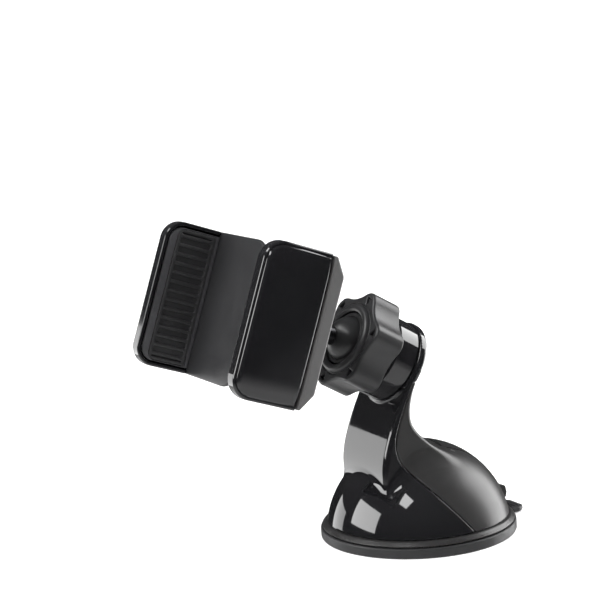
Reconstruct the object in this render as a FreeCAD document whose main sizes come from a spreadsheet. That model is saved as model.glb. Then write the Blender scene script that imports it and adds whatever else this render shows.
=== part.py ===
import FreeCAD, Part
import math
import os
import Sketcher
from FreeCAD import Placement, Rotation, Vector

# Car phone mount: a suction base with a lock lever, a leaning arm with a ball socket, and a
# spring-loaded cradle whose two jaws grip the long sides of a phone.
#
# Row frame, millimetres: the origin is the centre of the suction cup's underside, +Z is up,
# -Y is the side the phone faces and +X is the right-hand side for a person looking at it.
# The whole mount is symmetric about X = 0, apart from the jaw plates and racks, which pass
# each other.

DIMENSIONS = [
    # suction cup and base frame
    ("cup_radius", 35.6, "outer radius of the rubber cup and of the flange above it"),
    ("cup_edge", 3.7, "height of the cup's rim"),
    ("cup_skin", 2.4, "thickness of the cup's membrane"),
    ("cup_boss_radius", 9.5, "rubber boss that holds the foot of the stud"),
    ("cup_boss_height", 9.6, "top of that boss"),
    ("groove_depth", 1.0, "shadow groove between cup and flange"),
    ("flange_top", 5.9, "top of the base frame's flange"),
    ("tab_reach", 43.5, "how far the cup's pull tab reaches behind the centre"),
    ("tab_width", 13.0, "width of the pull tab"),
    # dome and arm
    ("dome_radius", 33.6, "radius of the dome, centred on the origin"),
    ("wall", 2.2, "wall of the dome and arm shells"),
    ("arm_half", 15.4, "half the width of the arm, and the radius of its head"),
    ("seam_gap", 0.12, "gap between the front shell and the rear cover"),
    ("neck_round", 6.0, "fillet where the arm grows out of the dome"),
    # socket
    ("nut_y", -20.7, "Y of the clamp nut's centre"),
    ("nut_z", 71.9, "Z of the clamp nut's centre"),
    ("socket_tilt", 31.0, "how far the socket axis points up, degrees"),
    ("nut_radius", 18.7, "radius over the nut's lobes"),
    ("nut_length", 12.0, "length of the nut"),
    ("nut_flute", 16.2, "radius of the flutes between the lobes"),
    ("nut_flute_out", 31.8, "distance of each flute's centre from the axis"),
    ("nut_turn", 15.0, "angle of the first lobe above +X, degrees"),
    ("nut_rim", 1.4, "height of the rounded rim round the nut's mouth"),
    ("boss_radius", 14.8, "gloss boss behind the nut"),
    ("boss_length", 9.8, "length of that boss, from the arm's face to the nut"),
    ("spigot_radius", 11.6, "threaded spigot inside the nut, over its crests"),
    ("running_gap", 0.08, "radial clearance of the running fits"),
    ("ball_radius", 8.5, "ball"),
    ("ball_ahead", 4.0, "ball's centre, ahead of the nut's centre"),
    ("ball_gap", 0.15, "clearance round the ball"),
    ("stem_radius", 3.25, "stem between ball and cradle"),
    # lock lever
    ("lever_pin_y", 8.6, "Y of the lever's pin"),
    ("lever_pin_z", 29.2, "Z of the lever's pin"),
    ("lever_pin_radius", 1.5, "lever pin"),
    ("lever_half", 9.0, "half the width of the lever"),
    ("stud_radius", 2.0, "stud that pulls the cup up"),
    ("stud_top", 26.8, "top of the stud's head when the cup is locked"),
    # cradle
    ("cradle_lean", 20.4, "how far the cradle leans back, degrees"),
    ("ball_to_plate", 41.4, "from the ball's centre to the face that the phone's back meets"),
    ("jaw_half_height", 26.2, "half the height of the jaws and plates"),
    ("jaw_reach", 21.35, "how far the jaws reach ahead of the plates"),
    ("grip_half", 35.45, "half the distance between the jaws' inner faces"),
    ("jaw_outer", 42.0, "half the width over both jaws"),
    ("jaw_corner", 7.0, "radius of the jaws' corners"),
    ("cover_thick", 1.8, "gloss cover on the outside of each jaw"),
    ("rim_width", 1.4, "rim round a jaw's inner face"),
    ("plate_thick", 1.5, "sliding plate of each jaw"),
    ("plate_overlap", 1.5, "how far each plate reaches past the middle"),
    ("plate_gap", 0.2, "clearance between sliding plates"),
    ("plate_corner", 10.0, "corner radius at a plate's free end"),
    ("cradle_depth", 8.75, "depth of the cradle behind the phone's back"),
    ("house_half", 28.0, "half the width of the cradle's housing"),
    ("house_height", 21.5, "half the height of the housing"),
    ("house_cover", 1.4, "thickness of the housing's front cover"),
    ("pitch_radius", 5.0, "pinion, at its pitch line"),
    ("tooth_height", 0.8, "how far a tooth stands past the pitch line"),
    ("gear_depth", 2.2, "thickness of the pinion and racks"),
]

TOOTH_COUNT = 12
RIB_COUNT = 14

doc = FreeCAD.newDocument("PhoneMount")
sheet = doc.addObject("Spreadsheet::Sheet", "Dimensions")
VALUES = {}
for row, (alias, value, meaning) in enumerate(DIMENSIONS, start=1):
    sheet.set("A%d" % row, meaning)
    sheet.set("B%d" % row, str(value))
    sheet.setAlias("B%d" % row, alias)
    VALUES[alias] = value
doc.recompute()


class Size:
    """A length that knows both its number and the sheet formula behind it."""

    def __init__(self, value, formula=None):
        self.value = float(value)
        self.formula = formula if formula else repr(float(value))
        self.bound = formula is not None

    def joined(self, other, sign, value):
        result = Size(value, "(%s %s %s)" % (self.formula, sign, other.formula))
        result.bound = self.bound or other.bound
        return result

    def __add__(self, other):
        other = sized(other)
        return self.joined(other, "+", self.value + other.value)

    def __sub__(self, other):
        other = sized(other)
        return self.joined(other, "-", self.value - other.value)

    def __mul__(self, other):
        other = sized(other)
        return self.joined(other, "*", self.value * other.value)

    def __truediv__(self, other):
        other = sized(other)
        return self.joined(other, "/", self.value / other.value)

    def __neg__(self):
        return sized(0) - self

    def __float__(self):
        return self.value


def sized(number):
    return number if isinstance(number, Size) else Size(number)


def dim(alias):
    return Size(VALUES[alias], "Dimensions." + alias)


def bind(thing, field, size):
    """Sets one size of an object, by formula where it comes from the sheet."""
    size = sized(size)
    setattr(thing, field, size.value)
    if size.bound:
        thing.setExpression(field, size.formula)


# ---- frames -------------------------------------------------------------------------------

SOCKET_TILT = math.radians(VALUES["socket_tilt"])
SOCKET_AXIS = Vector(0, -math.cos(SOCKET_TILT), math.sin(SOCKET_TILT))
NUT_CENTRE = Vector(0, VALUES["nut_y"], VALUES["nut_z"])
BALL_CENTRE = NUT_CENTRE + SOCKET_AXIS * VALUES["ball_ahead"]
# socket frame: local Z runs along the socket axis towards the phone, local X is the row's +X
SOCKET = Placement(NUT_CENTRE, Rotation(Vector(1, 0, 0), 90 - VALUES["socket_tilt"]))
# cradle frame: local X is the row's +X, Y runs away from the phone's back, Z runs up the phone
LEAN = Rotation(Vector(1, 0, 0), -VALUES["cradle_lean"])
CRADLE = Placement(BALL_CENTRE + LEAN.multVec(Vector(0, -VALUES["ball_to_plate"], 0)), LEAN)
# stem frame: the ball's centre, with local Z along the stem towards the phone
STEM = Placement(BALL_CENTRE, Rotation(Vector(1, 0, 0), 90 - VALUES["cradle_lean"]))
FLAT = Placement()

sub_parts = []


def finish_part(thing, label, placement=FLAT):
    """Names a finished sub-part, puts it in its place and lists it for writing."""
    thing.Label = label
    thing.Placement = placement
    sub_parts.append(thing)
    return thing


# ---- sketches and features ----------------------------------------------------------------

def new_body(name):
    return doc.addObject("PartDesign::Body", name + "_body")


def new_sketch(body, role, offset=0):
    """A sketch on one of the body's own planes, moved along the plane's normal."""
    sketch = body.newObject("Sketcher::SketchObject", body.Name + "_sketch")
    plane = [item for item in body.Origin.OriginFeatures if item.Role == role][0]
    sketch.AttachmentSupport = [(plane, "")]
    sketch.MapMode = "FlatFace"
    offset = sized(offset)
    sketch.AttachmentOffset = Placement(Vector(0, 0, offset.value), Rotation())
    if offset.bound:
        sketch.setExpression("AttachmentOffset.Base.z", offset.formula)
    return sketch


def pin_point(sketch, geometry, place, across, up):
    """Holds one point of a sketch at its two coordinates."""
    for kind, axis, size in (("DistanceX", -2, sized(across)), ("DistanceY", -1, sized(up))):
        if abs(size.value) < 1e-9:
            sketch.addConstraint(Sketcher.Constraint("PointOnObject", geometry, place, axis))
            continue
        index = sketch.addConstraint(
            Sketcher.Constraint(kind, -1, 1, geometry, place, size.value))
        if size.bound:
            sketch.setExpression("Constraints[%d]" % index, size.formula)


def draw_outline(sketch, corners):
    """A closed outline of straight lines through corners given as (across, up)."""
    points = [Vector(float(across), float(up), 0) for across, up in corners]
    first = sketch.GeometryCount
    count = len(points)
    lines = [Part.LineSegment(points[i], points[(i + 1) % count]) for i in range(count)]
    sketch.addGeometry(lines, False)
    joints = [Sketcher.Constraint("Coincident", first + i, 2, first + (i + 1) % count, 1)
              for i in range(count)]
    sketch.addConstraint(joints)
    for i, (across, up) in enumerate(corners):
        pin_point(sketch, first + i, 1, across, up)


def draw_circle(sketch, across, up, radius):
    radius = sized(radius)
    circle = Part.Circle(Vector(float(across), float(up), 0), Vector(0, 0, 1), radius.value)
    geometry = sketch.addGeometry(circle, False)
    index = sketch.addConstraint(Sketcher.Constraint("Radius", geometry, radius.value))
    if radius.bound:
        sketch.setExpression("Constraints[%d]" % index, radius.formula)
    pin_point(sketch, geometry, 3, across, up)


def rectangle(left, bottom, right, top):
    return [(left, bottom), (right, bottom), (right, top), (left, top)]


def pad(body, sketch, length, reverse=False):
    feature = body.newObject("PartDesign::Pad", body.Name + "_pad")
    feature.Profile = sketch
    bind(feature, "Length", length)
    feature.Reversed = reverse
    doc.recompute()
    return feature


def pocket(body, sketch, length, reverse=False):
    """Cuts a sketch into the body, and makes sure that it did cut."""
    before = body.Tip.Shape.Volume
    feature = body.newObject("PartDesign::Pocket", body.Name + "_pocket")
    feature.Profile = sketch
    bind(feature, "Length", length)
    feature.Reversed = reverse
    doc.recompute()
    if not feature.Shape.Volume < before - 1e-6:
        raise RuntimeError("a pocket cut nothing: " + feature.Name)
    return feature


def revolve(body, sketch):
    feature = body.newObject("PartDesign::Revolution", body.Name + "_revolution")
    feature.Profile = sketch
    feature.ReferenceAxis = (sketch, ["V_Axis"])
    feature.Angle = 360
    doc.recompute()
    return feature


def repeat_round(body, feature, count, axis_role="Z_Axis"):
    pattern = body.newObject("PartDesign::PolarPattern", body.Name + "_round")
    pattern.Originals = [feature]
    axis = [item for item in body.Origin.OriginFeatures if item.Role == axis_role][0]
    pattern.Axis = (axis, [""])
    pattern.Angle = 360
    pattern.Occurrences = count
    body.Tip = pattern
    doc.recompute()
    return pattern


def repeat_along(body, feature, axis_role, length, count):
    pattern = body.newObject("PartDesign::LinearPattern", body.Name + "_row")
    pattern.Originals = [feature]
    axis = [item for item in body.Origin.OriginFeatures if item.Role == axis_role][0]
    pattern.Direction = (axis, [""])
    pattern.Length = float(length)
    pattern.Occurrences = count
    body.Tip = pattern
    doc.recompute()
    return pattern


def edges_where(feature, wanted):
    return ["Edge%d" % number for number, edge in enumerate(feature.Shape.Edges, start=1)
            if wanted(edge)]


def round_edges(body, radius, wanted, kind="PartDesign::Fillet", field="Radius"):
    """Rounds the tip's edges that a test picks."""
    base = body.Tip
    feature = body.newObject(kind, body.Name + "_edge")
    feature.Base = (base, edges_where(base, wanted))
    bind(feature, field, radius)
    doc.recompute()
    return feature


def bevel_edges(body, size, wanted):
    return round_edges(body, size, wanted, "PartDesign::Chamfer", "Size")


def runs_along(edge, direction):
    """True for a straight edge along a direction."""
    if edge.Curve.TypeId != "Part::GeomLine":
        return False
    return edge.tangentAt(edge.FirstParameter).cross(direction).Length < 1e-6


def at_x(edge, place):
    return all(abs(vertex.X - place) < 1e-4 for vertex in edge.Vertexes)


def at_y(edge, place):
    return all(abs(vertex.Y - place) < 1e-4 for vertex in edge.Vertexes)


def turned(label, profile, placement=FLAT):
    """A round piece: a closed (radius, height) profile turned about local Z."""
    body = new_body(label)
    sketch = new_sketch(body, "XZ_Plane")
    draw_outline(sketch, profile)
    revolve(body, sketch)
    return finish_part(body, label, placement)


def cylinder(radius, length, place=Vector(), along=Vector(0, 0, 1)):
    thing = doc.addObject("Part::Cylinder", "cylinder")
    bind(thing, "Radius", radius)
    bind(thing, "Height", length)
    thing.Placement = Placement(place, Rotation(Vector(0, 0, 1), along))
    return thing


def sphere(radius, place=Vector()):
    thing = doc.addObject("Part::Sphere", "sphere")
    bind(thing, "Radius", radius)
    thing.Placement = Placement(place, Rotation())
    return thing


def box(low, high):
    thing = doc.addObject("Part::Box", "box")
    for field, start, end in zip(("Length", "Width", "Height"), low, high):
        bind(thing, field, sized(end) - start)
    thing.Placement = Placement(Vector(*[float(value) for value in low]), Rotation())
    return thing


def cut(base, tool):
    thing = doc.addObject("Part::Cut", "cut")
    thing.Base = base
    thing.Tool = tool
    doc.recompute()
    return thing


def fuse(*things):
    thing = doc.addObject("Part::MultiFuse", "fuse")
    thing.Shapes = list(things)
    doc.recompute()
    return thing


def common(*things):
    thing = doc.addObject("Part::MultiCommon", "common")
    thing.Shapes = list(things)
    doc.recompute()
    return thing


def fixed_shape(shape, name):
    """A shape that is worked out in code, as an object of the document."""
    thing = doc.addObject("Part::Feature", name)
    thing.Shape = shape
    return thing


# ---- suction cup, stud and base frame -----------------------------------------------------

STUD_FOOT = 6.7          # underside of the stud's foot, inside the cup's boss
STUD_FOOT_THICK = 1.6
BRIDGE_LOW = 19.5        # the bar that guides the stud
BRIDGE_HIGH = 22.0
BRIDGE_HALF = 3.3
BRIDGE_REACH = 20.0
SCREW_SPREAD = 17.0      # shell screws, at X and Y of plus and minus this


def make_suction_cup():
    radius = dim("cup_radius")
    edge = dim("cup_edge")
    boss = dim("cup_boss_radius")
    disc = new_body("suction_cup")
    sketch = new_sketch(disc, "XZ_Plane")
    draw_outline(sketch, [
        (0, 0), (radius - 0.7, 0), (radius, 0.7), (radius, edge - 0.5), (radius - 0.5, edge),
        (radius - 5.0, edge), (radius - 7.0, dim("cup_skin")), (boss, dim("cup_skin")),
        (boss, dim("cup_boss_height")), (dim("stud_radius") + 0.4, dim("cup_boss_height")),
        (dim("stud_radius") + 0.4, STUD_FOOT + STUD_FOOT_THICK + 0.3),
        (boss - 2.2, STUD_FOOT + STUD_FOOT_THICK + 0.3),
        (boss - 2.2, STUD_FOOT - 2.3), (0, STUD_FOOT - 2.3)])
    revolve(disc, sketch)
    tab = new_sketch(disc, "XY_Plane", 0.4)
    half = dim("tab_width") / 2
    reach = dim("tab_reach")
    draw_outline(tab, [(-half, radius - 3.0), (half, radius - 3.0), (half - 0.8, reach - 2.5),
                       (half - 3.3, reach), (-half + 3.3, reach), (-half + 0.8, reach - 2.5)])
    pad(disc, tab, 1.9)
    tab_end = VALUES["cup_radius"] + 2.0
    round_edges(disc, 0.6, lambda edge: edge.CenterOfMass.y > tab_end
                and edge.CenterOfMass.z > 2.2)
    return finish_part(disc, "suction_cup")


def make_base_frame():
    radius = dim("cup_radius")
    edge = dim("cup_edge")
    top = dim("flange_top")
    frame = new_body("base_frame")
    sketch = new_sketch(frame, "XZ_Plane")
    groove = radius - dim("groove_depth")
    inside = dim("dome_radius") - dim("wall") - 1.3
    draw_outline(sketch, [
        (dim("cup_boss_radius") + 0.5, edge + 0.05), (groove, edge + 0.05), (groove, edge + 0.5),
        (radius, edge + 0.5), (radius, edge + 0.8), (radius - 1.9, top), (inside, top),
        (inside, top + 2.6), (inside - 1.4, top + 2.6), (inside - 1.4, top),
        (dim("cup_boss_radius") + 0.5, top)])
    revolve(frame, sketch)
    post = new_sketch(frame, "XY_Plane", top)
    draw_outline(post, rectangle(-BRIDGE_HALF, BRIDGE_REACH - 3, BRIDGE_HALF, BRIDGE_REACH))
    draw_outline(post, rectangle(-BRIDGE_HALF, -BRIDGE_REACH, BRIDGE_HALF, -BRIDGE_REACH + 3))
    pad(frame, post, sized(BRIDGE_HIGH) - top)
    bridge = new_sketch(frame, "XY_Plane", BRIDGE_LOW)
    draw_outline(bridge, rectangle(-BRIDGE_HALF, -BRIDGE_REACH, BRIDGE_HALF, BRIDGE_REACH))
    draw_circle(bridge, 0, 0, dim("stud_radius") + dim("running_gap"))
    pad(frame, bridge, BRIDGE_HIGH - BRIDGE_LOW)
    holes = new_sketch(frame, "XY_Plane", top)
    for across in (-SCREW_SPREAD, SCREW_SPREAD):
        for along in (-SCREW_SPREAD, SCREW_SPREAD):
            draw_circle(holes, across, along, 1.6)
    pocket(frame, holes, 4.0)
    return finish_part(frame, "base_frame")


def make_cup_stud():
    foot = STUD_FOOT
    top = dim("stud_top")
    shank = dim("stud_radius")
    return turned("cup_stud", [
        (0, foot), (6.6, foot), (6.6, foot + STUD_FOOT_THICK), (shank, foot + STUD_FOOT_THICK),
        (shank, top - 1.8), (5.6, top - 1.8), (5.6, top - 0.6), (5.0, top), (0, top)])


def coil(radius, wire, length, turns, placement, label):
    """A round-wire coil spring along local Z, its ends cut square by the wire itself."""
    helix = Part.makeHelix(length / turns, length, radius)
    start = Vector(radius, 0, 0)
    lead = Vector(0, 2 * math.pi * radius, length / turns)
    section = Part.Wire(Part.makeCircle(wire, start, lead))
    solid = Part.Wire(helix.Edges).makePipeShell([section], True, True)
    return finish_part(fixed_shape(solid, label), label, placement)


def make_return_spring():
    low = VALUES["cup_boss_height"] + 0.5
    span = BRIDGE_LOW - low - 0.5
    return coil(2.9, 0.35, span, 5, Placement(Vector(0, 0, low), Rotation()), "return_spring")


# ---- dome and arm -------------------------------------------------------------------------

def spline(points):
    curve = Part.BSplineCurve()
    curve.interpolate([Vector(0, y, z) for y, z in points])
    return curve.toShape()


def straight(start, end):
    return Part.makeLine(Vector(0, *start), Vector(0, *end))


def socket_point(along, up):
    """(Y, Z) of a point given along the socket axis and square to it, from the nut's centre."""
    y = VALUES["nut_y"] - along * math.cos(SOCKET_TILT) + up * math.sin(SOCKET_TILT)
    z = VALUES["nut_z"] + along * math.sin(SOCKET_TILT) + up * math.cos(SOCKET_TILT)
    return y, z


ARM_FACE = -(VALUES["nut_length"] / 2 + VALUES["boss_length"])
HEAD_REAR = ARM_FACE - 3.4
ARM_REAR_ROUND = 1.8
HEAD_ROUND = 1.4


def arm_profile():
    """The arm seen from the side, from inside the dome up to the middle of its head."""
    front = [socket_point(ARM_FACE, 0), (-12.0, 54.5), (-16.8, 45.0), (-20.2, 36.5),
             (-21.8, 29.5), (-20.8, 16.0)]
    rear = [(7.0, 16.0), (3.0, 30.5), (-5.0, 38.3), (-8.8, 43.2), (-9.6, 47.8), (-8.9, 52.2),
            socket_point(HEAD_REAR, -5), socket_point(HEAD_REAR, 0)]
    edges = [spline(front), straight(front[-1], rear[0]), spline(rear),
             straight(rear[-1], front[0])]
    return Part.Face(Part.Wire(edges))


def middle_of(edge):
    return edge.valueAt((edge.FirstParameter + edge.LastParameter) / 2)


def arm_solid():
    """The arm and the thin round head at its top."""
    half = VALUES["arm_half"]
    arm = arm_profile().extrude(Vector(2 * half, 0, 0))
    arm.translate(Vector(-half, 0, 0))
    long_edges = [edge for edge in arm.Edges if abs(abs(middle_of(edge).x) - half) < 1e-3
                  and middle_of(edge).y > -12 and middle_of(edge).z > 20 and edge.Length > 20]
    arm = arm.makeFillet(ARM_REAR_ROUND, long_edges)
    head = Part.makeCylinder(half, ARM_FACE - HEAD_REAR,
                             SOCKET.multVec(Vector(0, 0, HEAD_REAR)), SOCKET_AXIS)
    rim = [edge for edge in head.Edges if edge.Curve.TypeId == "Part::GeomCircle"
           and abs(SOCKET.inverse().multVec(middle_of(edge)).z - HEAD_REAR) < 1e-3]
    head = head.makeFillet(HEAD_ROUND, rim)
    return arm.fuse(head).removeSplitter()


def ball_of(radius):
    """A ball about the origin, with the seam of its surface below the base."""
    ball = Part.makeSphere(radius)
    ball.rotate(Vector(), Vector(0, 1, 0), 90)
    return ball


def on_dome(edge):
    return abs(middle_of(edge).Length - VALUES["dome_radius"]) < 1e-3


def above_base(shape):
    keep = Part.makeBox(100, 100, 120, Vector(-50, -50, VALUES["flange_top"]))
    return shape.common(keep)


def outer_body():
    """Dome, arm and head as one solid, with the arm's rear edges and its neck rounded."""
    arm = arm_solid()
    body = above_base(arm.fuse(ball_of(VALUES["dome_radius"]))).removeSplitter()
    neck = [edge for edge in body.Edges
            if on_dome(edge) and middle_of(edge).z > VALUES["flange_top"] + 1]
    return body.makeFillet(VALUES["neck_round"], neck)


def inner_body():
    """The hollow inside both shells: the dome's, and a pocket up the foot of the arm."""
    arm = side_plate([(-17.6, 20.0), (-18.6, 30.0), (-17.0, 37.0), (-14.4, 42.6), (-12.4, 42.6),
                      (-9.5, 38.5), (-3.0, 32.0), (-3.0, 20.0)], -12.6, 12.6)
    return arm.fuse(ball_of(VALUES["dome_radius"] - VALUES["wall"]))


def front_region(shift=0):
    """Everything ahead of the seam, which runs down the arm and back across the dome."""
    seam = [(-8.0, 58.4), (-9.4, 56.0), (-11.2, 52.4), (-15.2, 43.4), (-16.6, 37.6),
            (-15.4, 31.6), (-12.2, 26.4), (-7.0, 19.0), (-2.0, 12.6), (3.6, 5.6), (5.6, 3.0)]
    seam = [(y + shift, z) for y, z in seam]
    top = seam[0][1] - shift
    seam[0] = (seam[0][0], top)
    far = [seam[0], (40, top), (40, 100), (-60, 100), (-60, 3.0), seam[-1]]
    edges = [straight(far[i], far[i + 1]) for i in range(len(far) - 1)]
    wire = Part.Wire(Part.__sortEdges__(edges + [spline(seam)]))
    region = Part.Face(wire).extrude(Vector(100, 0, 0))
    region.translate(Vector(-50, 0, 0))
    return region


def screw_post(across, along):
    """A hollow post under the dome that takes one of the shell screws."""
    low = VALUES["flange_top"] + 0.1
    post = Part.makeCylinder(3.2, 26, Vector(across, along, low))
    hole = Part.makeCylinder(1.45, 8, Vector(across, along, low))
    return post.common(ball_of(VALUES["dome_radius"] - 1)).cut(hole)


def boss_screw_hole():
    """The hole through the head for the boss's screw, and the sink for the screw's head."""
    hole = Part.makeCylinder(1.6, 8, SOCKET.multVec(Vector(0, 0, HEAD_REAR - 2)), SOCKET_AXIS)
    sink = Part.makeCylinder(3.1, 3.6, SOCKET.multVec(Vector(0, 0, HEAD_REAR - 2)), SOCKET_AXIS)
    return hole.fuse(sink)


def make_front_shell():
    shell = outer_body().common(front_region()).cut(inner_body())
    for across in (-SCREW_SPREAD, SCREW_SPREAD):
        shell = shell.fuse(screw_post(across, -SCREW_SPREAD))
    shell = shell.cut(boss_screw_hole()).removeSplitter()
    return finish_part(fixed_shape(shell, "front_shell"), "front_shell")


LEVER_EDGE_Y = 5.0       # top edge of the lever's opening
LEVER_KNUCKLE = 3.4
LEVER_SLOT = 0.3


def lever_pin_line(radius, half):
    place = Vector(-half, VALUES["lever_pin_y"], VALUES["lever_pin_z"])
    return Part.makeCylinder(radius, 2 * half, place, Vector(1, 0, 0))


def make_rear_cover():
    cover = outer_body().cut(front_region(VALUES["seam_gap"])).cut(inner_body())
    for across in (-SCREW_SPREAD, SCREW_SPREAD):
        cover = cover.fuse(screw_post(across, SCREW_SPREAD))
    half = VALUES["lever_half"] + LEVER_SLOT
    opening = Part.makeBox(2 * half, 60, 32, Vector(-half, LEVER_EDGE_Y, 5))
    cover = cover.cut(opening)
    for across in (-half - 2.8, half):
        cheek = Part.makeBox(2.8, 7.4, 9, Vector(across, 5.2, 25))
        cover = cover.fuse(cheek.common(ball_of(VALUES["dome_radius"] - 1)))
    cover = cover.cut(lever_pin_line(VALUES["lever_pin_radius"], half + 2.4))
    return finish_part(fixed_shape(cover.removeSplitter(), "rear_cover"), "rear_cover")


def side_plate(points, low, high):
    """A (Y, Z) outline made solid between two places along X."""
    wire = Part.makePolygon([Vector(low, y, z) for y, z in points + points[:1]])
    return Part.Face(wire).extrude(Vector(high - low, 0, 0))


def make_lock_lever():
    radius = VALUES["dome_radius"]
    half = VALUES["lever_half"]
    pin_y = VALUES["lever_pin_y"]
    skin = ball_of(radius).cut(ball_of(radius - 2.0))
    reach = Part.makeBox(2 * half, 40, 40, Vector(-half, pin_y, VALUES["flange_top"] + 0.6))
    knuckle = lever_pin_line(LEVER_KNUCKLE, half).common(ball_of(radius))
    tab = side_plate([(31.0, 7.4), (32.8, 7.2), (33.8, 7.9), (34.2, 9.6), (33.7, 11.8),
                      (32.9, 12.3), (30.6, 12.4)], -half + 1.5, half - 1.5)
    lever = skin.common(reach).fuse(knuckle).fuse(tab.cut(ball_of(radius - 2.0)))
    for across in (-5.4, 3.6):
        prong = side_plate([(-3.6, 23.1), (-3.6, 24.8), (5.4, 24.8), (6.4, 27.5), (9.0, 27.5),
                            (7.6, 23.1)], across, across + 1.8)
        lever = lever.fuse(prong)
    bore = VALUES["lever_pin_radius"] + VALUES["running_gap"]
    lever = lever.cut(lever_pin_line(bore, half + 1)).removeSplitter()
    return finish_part(fixed_shape(lever, "lock_lever"), "lock_lever")


def make_lever_pin():
    half = dim("lever_half") + LEVER_SLOT + 2.4
    pin = cylinder(dim("lever_pin_radius"), half * 2)
    place = Vector(-half.value, VALUES["lever_pin_y"], VALUES["lever_pin_z"])
    return finish_part(pin, "lever_pin", Placement(place, Rotation(Vector(0, 1, 0), 90)))


def make_shell_screws():
    """Four screws that clamp both shells to the base frame."""
    solids = []
    head_low = VALUES["cup_edge"] - 1.1
    for across in (-SCREW_SPREAD, SCREW_SPREAD):
        for along in (-SCREW_SPREAD, SCREW_SPREAD):
            head = Part.makeCylinder(2.8, 1.15, Vector(across, along, head_low))
            shank = Part.makeCylinder(1.4, 9.0, Vector(across, along, head_low + 1.1))
            solids.append(head.fuse(shank).removeSplitter())
    return finish_part(fixed_shape(Part.makeCompound(solids), "shell_screws"), "shell_screws")


# ---- socket, clamp and ball ---------------------------------------------------------------

def make_socket_boss():
    face = sized(ARM_FACE)
    radius = dim("boss_radius")
    spigot = dim("spigot_radius")
    rear = -(dim("nut_length") / 2) - 0.2
    body = new_body("socket_boss")
    sketch = new_sketch(body, "XZ_Plane")
    draw_outline(sketch, [
        (1.6, face + 0.02), (radius - 0.8, face + 0.02), (radius - 0.1, face + 0.7),
        (radius, rear - 1.2), (radius - 0.9, rear), (spigot, rear), (spigot, 0.6),
        (3.0, 0.6), (3.0, -5.4), (1.6, -5.4)])
    revolve(body, sketch)
    seat = sphere(dim("ball_radius") + dim("ball_gap"), Vector(0, 0, VALUES["ball_ahead"]))
    return finish_part(cut(body, seat), "socket_boss", SOCKET)


def make_boss_screw():
    back = HEAD_REAR + 0.15
    neck = HEAD_REAR + 1.6
    return turned("boss_screw", [
        (0, back + 0.7), (1.0, back + 0.7), (1.0, back), (2.3, back), (2.9, back + 0.6),
        (2.9, neck), (1.5, neck), (1.5, -8.4), (0, -7.4)], SOCKET)


def make_clamp_collet():
    """The tapered ring that the nut squeezes round the front of the ball."""
    inner = dim("ball_radius") + dim("ball_gap") + 0.05
    ahead = dim("ball_ahead")
    return turned("clamp_collet", [
        (inner, 0.9), (dim("spigot_radius") - 0.3, 0.9), (9.55, 6.4), (inner - 0.35, 6.4),
        (inner - 0.1, ahead + 1.2), (inner, ahead)], SOCKET)


def make_clamp_nut():
    half = dim("nut_length") / 2
    radius = dim("nut_radius")
    nut = new_body("clamp_nut")
    sketch = new_sketch(nut, "XY_Plane", -half)
    draw_circle(sketch, 0, 0, radius)
    pad(nut, sketch, dim("nut_length"))
    flute = new_sketch(nut, "XY_Plane", half)
    draw_circle(flute, dim("nut_flute_out"), 0, dim("nut_flute"))
    repeat_round(nut, pocket(nut, flute, dim("nut_length")), 6)
    axis = Vector(0, 0, 1)
    round_edges(nut, 1.5, lambda edge: runs_along(edge, axis))
    rim = new_sketch(nut, "XZ_Plane")
    face = half
    mouth = sized(9.9)
    draw_outline(rim, [
        (mouth, face - 2), (mouth + 3.2, face - 2), (mouth + 3.2, face - 0.1),
        (mouth + 2.8, face + 0.6), (mouth + 2.0, face + 1.15), (mouth + 1.2, face + 1.4),
        (mouth + 0.5, face + 1.25), (mouth, face + 0.8)])
    revolve(nut, rim)
    bore = new_sketch(nut, "XZ_Plane")
    thread = dim("spigot_radius") + dim("running_gap")
    draw_outline(bore, [
        (0, -half - 1), (thread, -half - 1), (thread, 0.8), (thread - 0.18, 0.85),
        (9.65, 6.4), (mouth, 6.45), (mouth, face + 3), (0, face + 3)])
    before = nut.Tip.Shape.Volume
    groove = nut.newObject("PartDesign::Groove", "nut_bore")
    groove.Profile = bore
    groove.ReferenceAxis = (bore, ["V_Axis"])
    groove.Angle = 360
    doc.recompute()
    if not groove.Shape.Volume < before:
        raise RuntimeError("the nut's bore cut nothing")
    recess = new_sketch(nut, "XY_Plane", half)
    across = math.cos(math.radians(30))
    up = math.sin(math.radians(30))
    corners = [(14.0, 0.0), (16.6, 1.5), (16.6, -1.5)]
    draw_outline(recess, [(x * across - y * up, x * up + y * across) for x, y in corners])
    repeat_round(nut, pocket(nut, recess, 1.3), 6)
    turn = Placement(Vector(), Rotation(axis, VALUES["nut_turn"] - 30))
    return finish_part(nut, "clamp_nut", SOCKET.multiply(turn))


CORE_RADIUS = 5.15


def make_ball_core():
    return finish_part(sphere(CORE_RADIUS), "ball_core", STEM)


def make_ball_shell():
    hollow = fuse(sphere(CORE_RADIUS + 0.15),
                  cylinder(dim("stem_radius") + dim("running_gap"), 10))
    return finish_part(cut(sphere(dim("ball_radius")), hollow), "ball_shell", STEM)


def make_ball_stem():
    """The metal stem: its foot turns in the ball, its knurled end sits in the housing."""
    radius = dim("stem_radius")
    end = dim("ball_to_plate") - dim("cradle_depth") - 1.2
    body = new_body("ball_stem")
    sketch = new_sketch(body, "XZ_Plane")
    draw_outline(sketch, [
        (0, CORE_RADIUS + 0.35), (radius - 0.4, CORE_RADIUS + 0.35),
        (radius, CORE_RADIUS + 0.75), (radius, end - 0.5), (radius - 0.5, end), (0, end)])
    revolve(body, sketch)
    cross = new_sketch(body, "YZ_Plane", -4)
    draw_circle(cross, 0, dim("ball_to_plate") - STEM_PIN_Y, 1.0)
    pocket(body, cross, 8, reverse=True)
    return finish_part(body, "ball_stem", STEM)


# ---- cradle -------------------------------------------------------------------------------

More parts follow.
